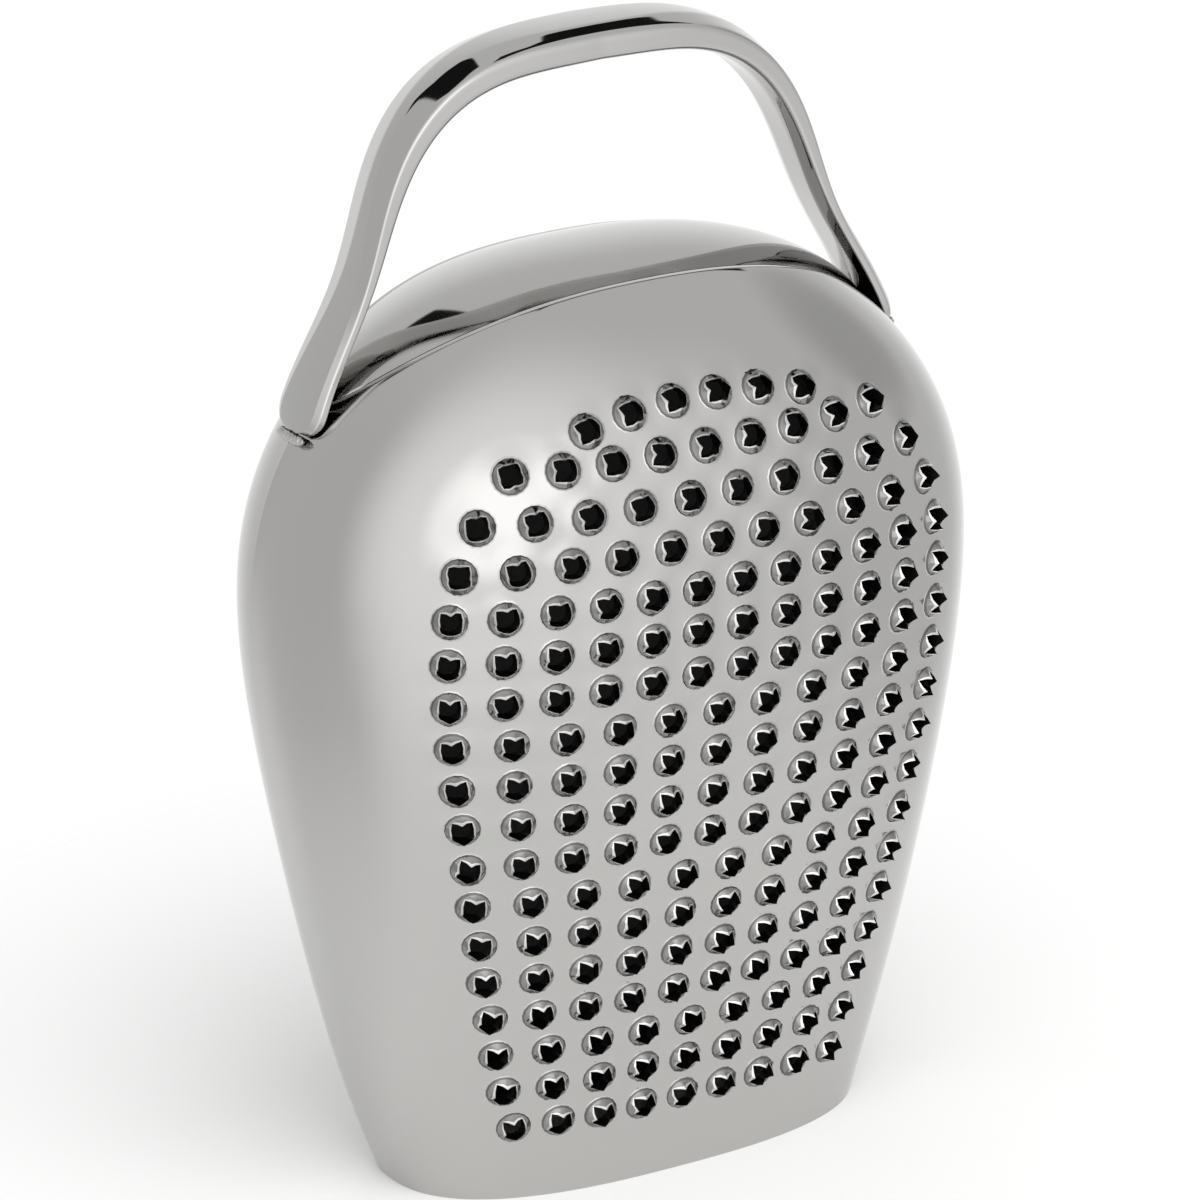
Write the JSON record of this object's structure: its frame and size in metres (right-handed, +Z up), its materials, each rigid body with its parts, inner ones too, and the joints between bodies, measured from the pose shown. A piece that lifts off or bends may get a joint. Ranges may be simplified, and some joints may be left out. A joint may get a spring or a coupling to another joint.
{
  "type": "cheese grater",
  "caption": "Hand-held sleeve grater: hollow oval body open at the base, domed top with a bow handle, front face covered in punched four-toothed crowns.",
  "frame": {"origin": "middle of the footprint, on the base rim", "axes": "+Z up through the handle, +X to the right seen from the grating face, grating face towards -Y"},
  "size_m": [0.1306, 0.0714, 0.2007],
  "materials": {
    "polished_steel": "mirror polished stainless steel",
    "weld_steel": "weld bead, partly ground"
  },
  "bodies": {
    "root": {"front_shell": "polished_steel", "back_shell": "polished_steel", "top_band": "polished_steel", "handle": "polished_steel", "left_foot_weld": "weld_steel", "right_foot_weld": "weld_steel"}
  },
  "joints": []
}
